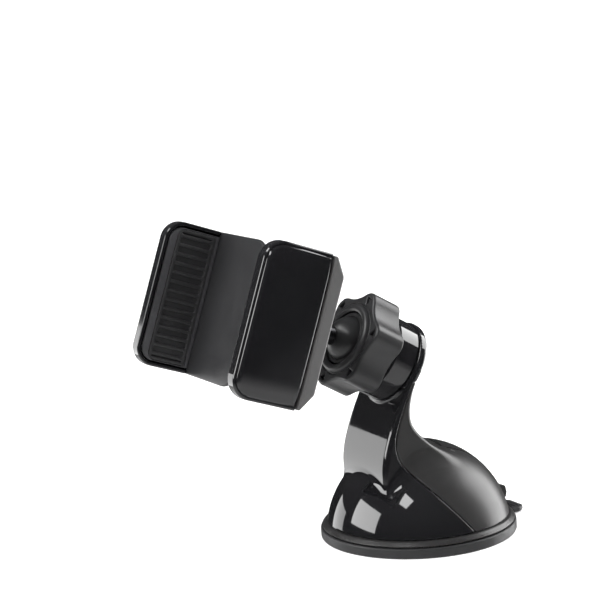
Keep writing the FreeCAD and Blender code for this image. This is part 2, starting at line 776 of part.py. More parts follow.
COLLAR_END = 26.5        # rear end of the housing's collar, behind the plates
STEM_PIN_Y = 22.0
HOUSE_SCREW_X = 23.0
HOUSE_SCREW_Z = 16.5


def house_face():
    """Where the housing's cover starts, behind the two sliding plates."""
    return dim("plate_thick") * 2 + dim("plate_gap") + 0.3


def make_housing():
    front = house_face() + dim("house_cover")
    back = dim("cradle_depth")
    half = dim("house_half")
    height = dim("house_height")
    body = new_body("cradle_housing")
    sketch = new_sketch(body, "XZ_Plane", -front)
    draw_outline(sketch, rectangle(-half, -height, half, height))
    pad(body, sketch, back - front, reverse=True)
    depth = Vector(0, 1, 0)
    round_edges(body, 5.0, lambda edge: runs_along(edge, depth))
    back_y = back.value
    round_edges(body, 2.0, lambda edge: at_y(edge, back_y))
    collar = new_sketch(body, "XY_Plane")
    inside = back - 0.6
    draw_outline(collar, [
        (0, inside), (16.0, inside), (15.6, back + 0.6), (13.4, back + 2.2), (11.0, back + 4.8),
        (9.2, back + 8.4), (8.0, back + 12.0), (7.6, COLLAR_END - 0.8),
        (6.8, COLLAR_END), (0, COLLAR_END)])
    revolve(body, collar)
    cavity = new_sketch(body, "XZ_Plane", -front)
    draw_outline(cavity, rectangle(-27, -9.6, 27, 9.6))
    pocket(body, cavity, 2.65)
    slots = new_sketch(body, "XZ_Plane", -front)
    draw_outline(slots, rectangle(-29, 5.6, 29, 8.5))
    draw_outline(slots, rectangle(-29, -8.5, 29, -5.6))
    pocket(body, slots, 2.65)
    pin_hole = new_sketch(body, "XZ_Plane", -front)
    draw_circle(pin_hole, 0, 0, 1.5)
    pocket(body, pin_hole, 3.2)
    screws = new_sketch(body, "XZ_Plane", -front)
    for across in (-HOUSE_SCREW_X, HOUSE_SCREW_X):
        for up in (-HOUSE_SCREW_Z, HOUSE_SCREW_Z):
            draw_circle(screws, across, up, 1.1)
    pocket(body, screws, 6.0)
    heads = new_sketch(body, "XZ_Plane", -(back - 1.3))
    for across in (-HOUSE_SCREW_X, HOUSE_SCREW_X):
        for up in (-HOUSE_SCREW_Z, HOUSE_SCREW_Z):
            draw_circle(heads, across, up, 2.3)
    pocket(body, heads, 3.0, reverse=False)
    bore = new_sketch(body, "XZ_Plane", -COLLAR_END)
    draw_circle(bore, 0, 0, dim("stem_radius") + 0.02)
    pocket(body, bore, sized(COLLAR_END) - back - 0.9, reverse=True)
    cross = new_sketch(body, "YZ_Plane", -12)
    draw_circle(cross, STEM_PIN_Y, 0, 1.0)
    pocket(body, cross, 24, reverse=True)
    return finish_part(body, "cradle_housing", CRADLE)


def make_house_cover():
    start = house_face()
    half = dim("house_half")
    height = dim("house_height")
    body = new_body("housing_cover")
    sketch = new_sketch(body, "XZ_Plane", -start)
    draw_outline(sketch, rectangle(-half, -height, half, height))
    draw_circle(sketch, 0, 0, 1.6)
    for across in (-HOUSE_SCREW_X, HOUSE_SCREW_X):
        for up in (-HOUSE_SCREW_Z, HOUSE_SCREW_Z):
            draw_circle(sketch, across, up, 1.0)
    pad(body, sketch, dim("house_cover"), reverse=True)
    depth = Vector(0, 1, 0)
    round_edges(body, 5.0, lambda edge: runs_along(edge, depth))
    front_y = start.value
    bevel_edges(body, 0.3, lambda edge: at_y(edge, front_y) and edge.Length > 6.4)
    return finish_part(body, "housing_cover", CRADLE)


def make_house_screws():
    """Four countersunk screws from the back of the housing into its cover."""
    solids = []
    back = Vector(0, -1, 0)
    top = VALUES["cradle_depth"] - 0.5
    for across in (-HOUSE_SCREW_X, HOUSE_SCREW_X):
        for up in (-HOUSE_SCREW_Z, HOUSE_SCREW_Z):
            head = Part.makeCylinder(2.1, 0.8, Vector(across, top, up), back)
            shank = Part.makeCylinder(1.0, 4.2, Vector(across, top - 0.7, up), back)
            slot = Part.makeBox(3.0, 0.4, 0.6, Vector(across - 1.5, top - 0.4, up - 0.3))
            solids.append(head.fuse(shank).cut(slot).removeSplitter())
    shape = Part.makeCompound(solids)
    return finish_part(fixed_shape(shape, "housing_screws"), "housing_screws", CRADLE)


def make_stem_pin():
    pin = cylinder(1.0, 2 * 7.0)
    place = CRADLE.multVec(Vector(-7.0, STEM_PIN_Y, 0))
    return finish_part(pin, "stem_pin", Placement(place, Rotation(Vector(0, 1, 0), 90)))


GEAR_CLEAR = 0.1


def gear_front():
    return house_face() + dim("house_cover") + GEAR_CLEAR


def make_pinion():
    front = gear_front()
    pitch = dim("pitch_radius")
    tooth = dim("tooth_height")
    body = new_body("pinion")
    disc = new_sketch(body, "XZ_Plane", -front)
    draw_circle(disc, 0, 0, pitch - tooth - 0.15)
    pad(body, disc, dim("gear_depth"), reverse=True)
    flank = new_sketch(body, "XZ_Plane", -front)
    root = pitch - tooth - 0.6
    draw_outline(flank, [(root, -0.85), (pitch, -0.5), (pitch + tooth - 0.1, -0.28),
                         (pitch + tooth - 0.1, 0.28), (pitch, 0.5), (root, 0.85)])
    repeat_round(body, pad(body, flank, dim("gear_depth"), reverse=True), TOOTH_COUNT,
                 "Y_Axis")
    bore = new_sketch(body, "XZ_Plane", -front)
    draw_circle(bore, 0, 0, sized(1.5) + dim("running_gap"))
    pocket(body, bore, dim("gear_depth"))
    return finish_part(body, "pinion", CRADLE)


def make_pinion_pin():
    start = house_face() + 0.4
    length = dim("cradle_depth") - 0.8 - start
    pin = cylinder(1.5, length)
    place = CRADLE.multVec(Vector(0, start.value, 0))
    turn = CRADLE.Rotation.multiply(Rotation(Vector(1, 0, 0), -90))
    return finish_part(pin, "pinion_pin", Placement(place, turn))


def make_jaw_spring(side, label):
    """A tension spring that pulls one rack towards the far wall of the housing."""
    start = VALUES["plate_overlap"] + 10.1
    end = 26.2
    place = CRADLE.multVec(Vector(-side * start, 6.2, -side * 7.1))
    turn = CRADLE.Rotation.multiply(Rotation(Vector(0, 1, 0), -side * 90))
    return coil(0.9, 0.25, end - start, 9, Placement(place, turn), label)


JAW_INNER = 1.15         # depth of the recess in a jaw's inner face
TRIM_START = 3.5         # where a jaw's rear trim starts behind the phone's back


def slab(body, side, inner, outer, outline):
    """A plate square to X: side is +1 for the right jaw and -1 for the left one."""
    inner = sized(inner)
    outer = sized(outer)
    sketch = new_sketch(body, "YZ_Plane", inner * side)
    draw_outline(sketch, outline)
    return pad(body, sketch, outer - inner, reverse=side < 0)


def slab_cut(body, side, outer, depth, outline):
    """A pocket square to X, cut outwards from the inner side of a jaw."""
    sketch = new_sketch(body, "YZ_Plane", sized(outer) * side)
    draw_outline(sketch, outline)
    return pocket(body, sketch, depth, reverse=side > 0)


def jaw_wall_inner():
    return dim("grip_half") + JAW_INNER


def make_jaw_shell(side, label):
    reach = dim("jaw_reach")
    height = dim("jaw_half_height")
    inner = dim("grip_half")
    outer = dim("jaw_outer") - dim("cover_thick")
    rear = TRIM_START - 0.1
    body = new_body(label)
    slab(body, side, inner, outer, rectangle(-reach, -height, rear, height))
    across = Vector(1, 0, 0)
    rim = dim("rim_width")
    slab_cut(body, side, inner, JAW_INNER,
             rectangle(-reach + rim, -height + rim, 0, height - rim))
    slab_cut(body, side, inner, JAW_INNER, rectangle(0, -height - 1, rear + 1, height + 1))
    recess_y = VALUES["rim_width"] - reach.value
    round_edges(body, dim("jaw_corner") - rim,
                lambda edge: runs_along(edge, across) and at_y(edge, recess_y))
    front_y = -reach.value
    round_edges(body, dim("jaw_corner"),
                lambda edge: runs_along(edge, across) and at_y(edge, front_y))
    inner_x = side * inner.value
    round_edges(body, 0.4, lambda edge: at_x(edge, inner_x) and edge.CenterOfMass.y < -0.5)
    outer_x = side * outer.value
    round_edges(body, 0.8, lambda edge: at_x(edge, outer_x)
                and edge.CenterOfMass.y < rear - 0.2)
    return finish_part(body, label, CRADLE)


def make_jaw_cover(side, label):
    """The gloss panel on the outside of a jaw."""
    inset = 0.75
    reach = dim("jaw_reach") - inset
    height = dim("jaw_half_height") - inset
    outer = dim("jaw_outer")
    body = new_body(label)
    slab(body, side, outer - dim("cover_thick"), outer,
         rectangle(-reach, -height, TRIM_START - 0.1, height))
    across = Vector(1, 0, 0)
    front_y = -reach.value
    round_edges(body, dim("jaw_corner") - inset,
                lambda edge: runs_along(edge, across) and at_y(edge, front_y))
    outer_x = side * outer.value
    round_edges(body, 1.3, lambda edge: at_x(edge, outer_x)
                and edge.CenterOfMass.y < TRIM_START - 0.3)
    return finish_part(body, label, CRADLE)


def make_jaw_trim(side, label):
    """The satin strip along a jaw's rear edge, with slanted ends."""
    height = dim("jaw_half_height")
    back = dim("cradle_depth")
    outer = dim("jaw_outer")
    body = new_body(label)
    slab(body, side, jaw_wall_inner(), outer - 0.2, [
        (TRIM_START, -height + 0.3), (TRIM_START + 1.1, -height + 0.6), (back, -height + 5.9),
        (back, height - 5.9), (TRIM_START + 1.1, height - 0.6), (TRIM_START, height - 0.3)])
    outer_x = side * (outer.value - 0.2)
    round_edges(body, 1.0, lambda edge: at_x(edge, outer_x)
                and edge.CenterOfMass.y > TRIM_START + 0.2)
    return finish_part(body, label, CRADLE)


PAD_FRONT = -16.6
PAD_REAR = -1.5


def make_pad_frame(side, label):
    """The satin frame that holds a jaw's ribbed pad."""
    reach = dim("jaw_reach") - dim("rim_width") - 0.05
    height = dim("jaw_half_height") - dim("rim_width") - 0.05
    inner = jaw_wall_inner() - 0.95
    body = new_body(label)
    slab(body, side, inner, jaw_wall_inner(), rectangle(-reach, -height, -0.1, height))
    across = Vector(1, 0, 0)
    front_y = -reach.value
    round_edges(body, dim("jaw_corner") - dim("rim_width") - 0.05,
                lambda edge: runs_along(edge, across) and at_y(edge, front_y))
    slab_cut(body, side, inner, 0.95,
             rectangle(PAD_FRONT, -height + 1.0, PAD_REAR, height - 1.0))
    round_edges(body, 3.05, lambda edge: runs_along(edge, across) and at_y(edge, PAD_FRONT))
    inner_x = side * inner.value
    round_edges(body, 0.3, lambda edge: at_x(edge, inner_x))
    return finish_part(body, label, CRADLE)


def make_grip_pad(side, label):
    """The soft pad, with a ladder of shallow pockets that leaves ribs across it."""
    height = dim("jaw_half_height") - dim("rim_width") - 1.1
    inner = dim("grip_half") - 0.05
    body = new_body(label)
    slab(body, side, inner, jaw_wall_inner(),
         rectangle(PAD_FRONT + 0.05, -height, PAD_REAR - 0.05, height))
    across = Vector(1, 0, 0)
    front_y = PAD_FRONT + 0.05
    round_edges(body, 3.0, lambda edge: runs_along(edge, across) and at_y(edge, front_y))
    pitch = (height * 2 - 1.4) / RIB_COUNT
    low = -height + 1.2
    slot = slab_cut(body, side, inner, 0.75,
                    rectangle(PAD_FRONT + 1.2, low, PAD_REAR - 1.0, low + pitch - 1.0))
    repeat_along(body, slot, "Z_Axis", pitch * (RIB_COUNT - 1), RIB_COUNT)
    return finish_part(body, label, CRADLE)


def make_slide_plate(side, label):
    """A jaw's sliding plate: the left one lies in front of the right one."""
    front = sized(0) if side < 0 else dim("plate_thick") + dim("plate_gap")
    height = dim("jaw_half_height")
    outer = jaw_wall_inner() * side
    inner = -dim("plate_overlap") * side
    body = new_body(label)
    sketch = new_sketch(body, "XZ_Plane", -front)
    draw_outline(sketch, rectangle(inner, -height, outer, height))
    pad(body, sketch, dim("plate_thick"), reverse=True)
    depth = Vector(0, 1, 0)
    inner_x = inner.value
    round_edges(body, dim("plate_corner"),
                lambda edge: runs_along(edge, depth) and at_x(edge, inner_x))
    front_y = front.value
    outer_x = outer.value
    round_edges(body, 0.4, lambda edge: at_y(edge, front_y) and not at_x(edge, outer_x))
    return finish_part(body, label, CRADLE)


def make_rack(side, label):
    """A jaw's rack: a bar above (left) or below (right) the pinion, with teeth facing it.

    Its shoulder meets the housing's side wall, which stops the closing jaws.
    """
    pitch = dim("pitch_radius")
    tooth = dim("tooth_height")
    root = pitch + tooth + 0.15
    end = dim("plate_overlap") + 9.5
    outer = jaw_wall_inner()
    up = -side
    body = new_body(label)
    bar = new_sketch(body, "XZ_Plane", -gear_front())
    draw_outline(bar, rectangle(end * -side, root * up, outer * side, sized(8.2) * up))
    pad(body, bar, dim("gear_depth"), reverse=True)
    stop = dim("house_half") + 0.05
    shoulder = new_sketch(body, "XZ_Plane", -gear_front())
    draw_outline(shoulder, rectangle(stop * side, root * up, (stop + 2.0) * side,
                                     sized(10.0) * up))
    pad(body, shoulder, dim("gear_depth"), reverse=True)
    step = 2 * math.pi * VALUES["pitch_radius"] / TOOTH_COUNT
    first = -3.5 * step
    flank = new_sketch(body, "XZ_Plane", -gear_front())
    draw_outline(flank, [
        (first - 0.75, (root + 0.3) * up), (first - 0.28, (pitch - tooth + 0.1) * up),
        (first + 0.28, (pitch - tooth + 0.1) * up), (first + 0.75, (root + 0.3) * up)])
    repeat_along(body, pad(body, flank, dim("gear_depth"), reverse=True), "X_Axis", 7 * step, 8)
    return finish_part(body, label, CRADLE)


def make_jaws():
    for side, name in ((-1, "left"), (1, "right")):
        make_jaw_shell(side, name + "_jaw_shell")
        make_jaw_cover(side, name + "_jaw_cover")
        make_jaw_trim(side, name + "_jaw_trim")
        make_pad_frame(side, name + "_pad_frame")
        make_grip_pad(side, name + "_grip_pad")
        make_slide_plate(side, name + "_slide_plate")
        make_rack(side, name + "_rack")
        make_jaw_spring(side, name + "_jaw_spring")


# ---- the whole mount ----------------------------------------------------------------------

def make_everything():
    make_suction_cup()
    make_base_frame()
    make_cup_stud()
    make_return_spring()
    make_front_shell()
    make_rear_cover()
    make_lock_lever()
    make_lever_pin()
    make_shell_screws()
    make_socket_boss()
    make_boss_screw()
    make_clamp_collet()
    make_clamp_nut()
    make_ball_core()
    make_ball_shell()
    make_ball_stem()
    make_housing()
    make_house_cover()
    make_house_screws()
    make_stem_pin()
    make_pinion()
    make_pinion_pin()
    make_jaws()


def check_everything():
    doc.recompute()
    for thing in doc.Objects:
        if "Invalid" in thing.State or "Error" in thing.State:
            raise RuntimeError("failed object: %s %s" % (thing.Name, thing.State))
    for thing in sub_parts:
        if thing.Shape.isNull() or not thing.Shape.isValid():
            raise RuntimeError("bad shape: " + thing.Label)


def write_everything():
    os.makedirs("parts", exist_ok=True)
    for thing in sub_parts:
        thing.Shape.exportStep("parts/%s.step" % thing.Label)
        print("%-20s %3d solid(s) %9.1f mm3"
              % (thing.Label, len(thing.Shape.Solids), thing.Shape.Volume))


make_everything()
check_everything()
write_everything()
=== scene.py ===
import math

import bpy
import numpy as np
import openvdb
from mathutils import Matrix, Vector


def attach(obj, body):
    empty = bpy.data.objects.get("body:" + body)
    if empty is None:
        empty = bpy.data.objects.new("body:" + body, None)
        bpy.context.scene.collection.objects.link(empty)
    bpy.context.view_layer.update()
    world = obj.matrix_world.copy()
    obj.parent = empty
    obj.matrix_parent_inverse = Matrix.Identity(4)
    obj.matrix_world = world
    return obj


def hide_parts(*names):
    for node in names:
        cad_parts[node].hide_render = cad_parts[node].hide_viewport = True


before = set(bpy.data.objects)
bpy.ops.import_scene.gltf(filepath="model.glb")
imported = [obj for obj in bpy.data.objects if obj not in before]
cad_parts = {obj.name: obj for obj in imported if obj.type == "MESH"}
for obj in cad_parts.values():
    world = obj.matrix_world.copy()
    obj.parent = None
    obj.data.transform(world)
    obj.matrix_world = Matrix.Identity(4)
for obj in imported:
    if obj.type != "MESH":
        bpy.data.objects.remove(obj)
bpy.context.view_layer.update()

# Car phone mount. Shapes are written as signed distances in millimetres, negative inside, and
# turned into meshes whose points are then moved onto the exact surface.

# ---- driving sizes, in millimetres ----------------------------------------------------------

CUP_RADIUS = 35.6
CUP_EDGE = 3.7
FLANGE_TOP = 5.9
DOME_RADIUS = 33.6
ARM_HALF = 15.4
WALL = 2.2
SOCKET_TILT = math.radians(31.0)
NUT_CENTRE = np.array([0.0, -20.7, 71.9])
LEAN = math.radians(20.4)
BALL_AHEAD = 4.0
BALL_TO_PLATE = 41.4

SOCKET_AXIS = np.array([0.0, -math.cos(SOCKET_TILT), math.sin(SOCKET_TILT)])
SOCKET_UP = np.array([0.0, math.sin(SOCKET_TILT), math.cos(SOCKET_TILT)])
BALL_CENTRE = NUT_CENTRE + BALL_AHEAD * SOCKET_AXIS
CRADLE_DEPTH_AXIS = np.array([0.0, math.cos(LEAN), -math.sin(LEAN)])
CRADLE_UP = np.array([0.0, math.sin(LEAN), math.cos(LEAN)])
PLATE_CENTRE = BALL_CENTRE - BALL_TO_PLATE * CRADLE_DEPTH_AXIS
RIGHT = np.array([1.0, 0.0, 0.0])


def local_frame(across, along, up, origin):
    """The columns and origin that take a piece's own millimetres to the row frame."""
    return np.column_stack([across, along, up]), np.asarray(origin, float)


ROW = local_frame(RIGHT, (0, 1, 0), (0, 0, 1), (0, 0, 0))
# x to the right, y up, z along the socket's axis towards the phone
SOCKET = local_frame(RIGHT, SOCKET_UP, SOCKET_AXIS, NUT_CENTRE)


# ---- distance functions ---------------------------------------------------------------------

# further than anything on the object
FAR = 1e3


def both(a, b, radius=0.0):
    """Where a and b overlap, with a round edge."""
    if np.ndim(radius) == 0 and radius <= 0:
        return np.maximum(a, b)
    corner = np.sqrt(np.maximum(a + radius, 0) ** 2 + np.maximum(b + radius, 0) ** 2)
    return np.minimum(np.maximum(a, b), -radius) + corner


def either(a, b, radius=0.0):
    """a and b joined, with a fillet."""
    return -both(-a, -b, radius)


def without(a, b, radius=0.0):
    """a with b cut away, with round edges."""
    return both(a, -b, radius)


def rounded_box(x, y, z, low, high, radius):
    """A box from low to high, with round edges and corners."""
    halves = [(high[i] - low[i]) / 2 - radius for i in range(3)]
    middles = [(high[i] + low[i]) / 2 for i in range(3)]
    gaps = [np.abs(v - m) - h for v, m, h in zip((x, y, z), middles, halves)]
    outside = np.sqrt(sum(np.maximum(g, 0) ** 2 for g in gaps))
    return outside + np.minimum(np.maximum(np.maximum(gaps[0], gaps[1]), gaps[2]), 0) - radius


def ring_section(radial, height, low, high, radius):
    """A ring about an axis: a rounded rectangle in (distance from the axis, height)."""
    return rounded_box(radial, height, 0 * radial, (low[0], low[1], -FAR),
                       (high[0], high[1], FAR), radius)


class Curve:
    """A smooth curve through points, giving y for a height z and its slope."""

    def __init__(self, points):
        points = sorted((z, y) for y, z in points)
        self.z = np.array([p[0] for p in points])
        self.y = np.array([p[1] for p in points])
        count = len(points)
        step = np.diff(self.z)
        matrix = np.eye(count)
        rhs = np.zeros(count)
        for i in range(1, count - 1):
            matrix[i, i - 1:i + 2] = (step[i - 1], 2 * (step[i - 1] + step[i]), step[i])
            rhs[i] = 6 * ((self.y[i + 1] - self.y[i]) / step[i]
                          - (self.y[i] - self.y[i - 1]) / step[i - 1])
        self.bend = np.linalg.solve(matrix, rhs)

    def at(self, z):
        """y and its slope at height z, going straight on past the curve's ends."""
        inside = np.clip(z, self.z[0], self.z[-1])
        i = np.clip(np.searchsorted(self.z, inside) - 1, 0, len(self.z) - 2)
        step = self.z[i + 1] - self.z[i]
        a = (self.z[i + 1] - inside) / step
        b = 1 - a
        low, high = self.bend[i], self.bend[i + 1]
        y = (a * self.y[i] + b * self.y[i + 1]
             + ((a ** 3 - a) * low + (b ** 3 - b) * high) * step ** 2 / 6)
        slope = ((self.y[i + 1] - self.y[i]) / step
                 + ((1 - 3 * a ** 2) * low + (3 * b ** 2 - 1) * high) * step / 6)
        return y + slope * (z - inside), slope

    def behind(self, y, z):
        """Signed distance behind the curve, positive for larger y."""
        place, slope = self.at(z)
        return (y - place) / np.sqrt(1 + slope ** 2)


# ---- meshes ---------------------------------------------------------------------------------

# the grid keeps distances this many cells to each side of a surface
NARROW_BAND = 3
# how often points are moved onto the surface, and how far at most each time, in cells
SETTLING_STEPS = 4
LONGEST_STEP = 0.5
# half the width that a normal is measured over, which softens it at sharp edges
NORMAL_STEP = 0.02
# a millimetre in metres
MM = 0.001


def slopes(shape, points, step=0.004):
    """How a shape's distance changes along x, y and z at each point."""
    out = np.empty_like(points)
    for i in range(3):
        move = np.zeros(3)
        move[i] = step
        out[:, i] = (shape(*(points + move).T) - shape(*(points - move).T)) / (2 * step)
    return out


def add_object(name, data):
    """A new object in the scene for a mesh, light or camera."""
    thing = bpy.data.objects.new(name, data)
    bpy.context.scene.collection.objects.link(thing)
    return thing


def carve(name, shape, low, high, cell, place, body, material, replaced):
    """The surface where shape is 0, as a smooth mesh riding on a body in place of CAD nodes.

    low and high bound the shape, cell is the mesh's fineness, and place is the frame that the
    shape is written in.
    """
    counts = [int(math.ceil((high[i] - low[i]) / cell)) + 5 for i in range(3)]
    start = np.array(low) - 2 * cell
    axes = [start[i] + cell * np.arange(counts[i]) for i in range(3)]
    x, y, z = np.meshgrid(*axes, indexing="ij", sparse=True)
    values = shape(x + 0 * y + 0 * z, y + 0 * x + 0 * z, z + 0 * x + 0 * y)
    band = float(NARROW_BAND * cell)
    grid = openvdb.FloatGrid(background=band)
    grid.copyFromArray(np.clip(values, -band, band).astype(np.float32))
    points, triangles, quads = grid.convertToPolygons(0.0, 0.0)
    points = points.astype(float) * cell + start
    for _ in range(SETTLING_STEPS):
        slope = slopes(shape, points)
        size = np.maximum((slope ** 2).sum(axis=1), 0.2)
        move = (shape(*points.T) / size)[:, None] * slope
        length = np.linalg.norm(move, axis=1)[:, None]
        points -= move * np.minimum(1, LONGEST_STEP * cell / np.maximum(length, 1e-9))
    normals = slopes(shape, points, NORMAL_STEP)
    normals /= np.maximum(np.linalg.norm(normals, axis=1)[:, None], 1e-9)
    turn, origin = place
    verts = (points @ turn.T + origin) * MM
    normals = normals @ turn.T
    faces = [tuple(int(i) for i in face[::-1]) for face in quads]
    faces += [tuple(int(i) for i in face[::-1]) for face in triangles]
    mesh = bpy.data.meshes.new(name)
    mesh.from_pydata(verts.tolist(), [], faces)
    corner = faces[0]
    first = np.cross(verts[corner[1]] - verts[corner[0]], verts[corner[2]] - verts[corner[1]])
    if np.dot(first, normals[corner[0]]) < 0:
        mesh.flip_normals()
    mesh.shade_smooth()
    mesh.normals_split_custom_set_from_vertices(normals.tolist())
    mesh.materials.append(material)
    piece = add_object(name, mesh)
    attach(piece, body)
    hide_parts(*replaced)


# ---- materials ------------------------------------------------------------------------------

class Nodes:
    """Short names for building one material's nodes."""

    def __init__(self, name):
        self.material = bpy.data.materials.new(name)
        self.material.use_nodes = True
        self.tree = self.material.node_tree
        self.shader = self.tree.nodes["Principled BSDF"]
        self.place = self.add("ShaderNodeTexCoord").outputs["Object"]

    def add(self, kind, **fields):
        node = self.tree.nodes.new(kind)
        for key, value in fields.items():
            setattr(node, key, value)
        return node

    def link(self, source, target):
        self.tree.links.new(source, target)

    def noise(self, scale, detail, rough, stretch=None):
        node = self.add("ShaderNodeTexNoise")
        node.inputs["Scale"].default_value = scale
        node.inputs["Detail"].default_value = detail
        node.inputs["Roughness"].default_value = rough
        source = self.place
        if stretch:
            mapping = self.add("ShaderNodeMapping")
            mapping.inputs["Scale"].default_value = stretch
            self.link(source, mapping.inputs["Vector"])
            source = mapping.outputs["Vector"]
        self.link(source, node.inputs["Vector"])
        return node.outputs["Fac"]

    def spread(self, source, low, high, to_low, to_high):
        """source from low to high, mapped to run from to_low to to_high."""
        node = self.add("ShaderNodeMapRange")
        for key, value in zip(("From Min", "From Max", "To Min", "To Max"),
                              (low, high, to_low, to_high)):
            node.inputs[key].default_value = value
        self.link(source, node.inputs["Value"])
        return node.outputs["Result"]

    def blend_colour(self, factor, first, second):
        node = self.add("ShaderNodeMix", data_type="RGBA")
        # a mix node's inputs 6 and 7 are its colours A and B, and output 2 its colour
        node.inputs[6].default_value = (*first, 1)
        node.inputs[7].default_value = (*second, 1)
        self.link(factor, node.inputs[0])
        return node.outputs[2]

    def total(self, first, second):
        node = self.add("ShaderNodeMath", operation="ADD")
        self.link(first, node.inputs[0])
        self.link(second, node.inputs[1])
        return node.outputs[0]

    def bump(self, height, strength, distance, before=None):
        node = self.add("ShaderNodeBump")
        node.inputs["Strength"].default_value = strength
        node.inputs["Distance"].default_value = distance
        self.link(height, node.inputs["Height"])
        if before:
            self.link(before, node.inputs["Normal"])
        return node.outputs["Normal"]


def gloss_black():
    """Injection-moulded piano black: very faint waviness, fine dust and hairline marks."""
    n = Nodes("gloss_black")
    cloud = n.noise(35, 4, 0.6)
    n.link(n.blend_colour(cloud, (0.0045, 0.0045, 0.005), (0.0081, 0.0081, 0.009)),
           n.shader.inputs["Base Color"])
    dust = n.spread(n.noise(1400, 2, 0.5), 0.66, 0.76, 0, 0.02)
    hair = n.spread(n.noise(260, 2, 0.5, (1, 14, 3)), 0.60, 0.75, 0, 0.035)
    film = n.spread(n.noise(60, 3, 0.6), 0.35, 0.7, 0.035, 0.085)
    n.link(n.total(n.total(film, dust), hair), n.shader.inputs["Roughness"])
    n.shader.inputs["IOR"].default_value = 1.5
    n.shader.inputs["Coat Weight"].default_value = 0.35
    n.shader.inputs["Coat Roughness"].default_value = 0.03
    wave = n.bump(n.noise(22, 2, 0.4), 0.06, 0.0008)
    n.link(n.bump(n.noise(500, 2, 0.5), 0.003, 0.00004, wave), n.shader.inputs["Normal"])
    return n.material


def satin_plastic(name, dark, light, rough, grain=1500, strength=0.25):
    """Moulded plastic with a fine spark-eroded grain."""
    n = Nodes(name)
    cloud = n.noise(60, 4, 0.6)
    n.link(n.blend_colour(cloud, dark, light), n.shader.inputs["Base Color"])
    wear = n.spread(n.noise(120, 5, 0.65), 0.3, 0.75, rough - 0.05, rough + 0.07)
    n.link(wear, n.shader.inputs["Roughness"])
    n.shader.inputs["IOR"].default_value = 1.48
    fine = n.noise(grain, 3, 0.6)
    n.link(n.bump(fine, strength, 0.00008), n.shader.inputs["Normal"])
    return n.material


def soft_rubber():
    """Matt rubber with a slightly uneven bloom."""
    n = Nodes("soft_rubber")
    bloom = n.noise(45, 5, 0.65)
    n.link(n.blend_colour(bloom, (0.011, 0.011, 0.012), (0.026, 0.026, 0.027)),
           n.shader.inputs["Base Color"])
    n.link(n.spread(n.noise(240, 4, 0.6), 0.3, 0.7, 0.42, 0.60), n.shader.inputs["Roughness"])
    n.shader.inputs["IOR"].default_value = 1.5
    n.link(n.bump(n.noise(2200, 3, 0.6), 0.30, 0.00006), n.shader.inputs["Normal"])
    return n.material


def steel(name, dark, light, rough, stretch):
    """Turned steel with fine tool marks."""
    n = Nodes(name)
    n.link(n.blend_colour(n.noise(90, 4, 0.6), dark, light), n.shader.inputs["Base Color"])
    n.shader.inputs["Metallic"].default_value = 1.0
    marks = n.noise(900, 3, 0.6, stretch)
    n.link(n.spread(marks, 0.3, 0.7, rough - 0.06, rough + 0.10), n.shader.inputs["Roughness"])
    n.link(n.bump(marks, 0.12, 0.00005), n.shader.inputs["Normal"])
    return n.material


GLOSS = gloss_black()
SATIN = satin_plastic("satin_black", (0.0085, 0.0085, 0.009), (0.0135, 0.0135, 0.014), 0.33)
COVER = satin_plastic("satin_cover", (0.016, 0.0155, 0.0155), (0.023, 0.0225, 0.0225), 0.33,
                      1900, 0.14)
NUT = satin_plastic("grained_nut", (0.012, 0.012, 0.0125), (0.021, 0.021, 0.022), 0.38, 1300,
                    0.45)
FRAME_GREY = satin_plastic("pad_frame_grey", (0.030, 0.030, 0.032), (0.050, 0.050, 0.053),
                           0.36)
PLATE = satin_plastic("slide_plate", (0.012, 0.012, 0.013), (0.019, 0.019, 0.020), 0.34, 1700,
                      0.12)
TRIM = satin_plastic("satin_trim", (0.060, 0.059, 0.059), (0.080, 0.079, 0.079), 0.36, 1900,
                     0.12)
RUBBER = soft_rubber()
STEEL = steel("zinc_steel", (0.42, 0.42, 0.43), (0.60, 0.60, 0.61), 0.30, (1, 1, 12))
DARK_STEEL = steel("dark_steel", (0.035, 0.035, 0.038), (0.07, 0.07, 0.074), 0.27,
                   (1, 12, 12))


# ---- base: cup and flange -------------------------------------------------------------------

def distance_from_axis(x, y):
    return np.sqrt(x * x + y * y)


CUP_HOLLOW = 29.6
CUP_FLOOR = 2.4
BOSS_RADIUS = 9.5
BOSS_TOP = 9.6
HUB_HOLE = 10.0
TAB_HALF = 6.5
TAB_REACH = 43.5
TAB_LOW = 0.4
TAB_TOP = 2.3
TAB_RIBS = (38.2, 39.7, 41.2)
TAB_RIB_HALF = 4.6
RIB_RADIUS = 0.32
POST_HALF = 3.3
POST_OUT = 20.0
POST_IN = 17.0
BRIDGE_LOW = 19.5
BRIDGE_TOP = 22.0
STUD_HOLE = 2.08
SPIGOT_INNER = 28.7
SPIGOT_OUTER = 30.1


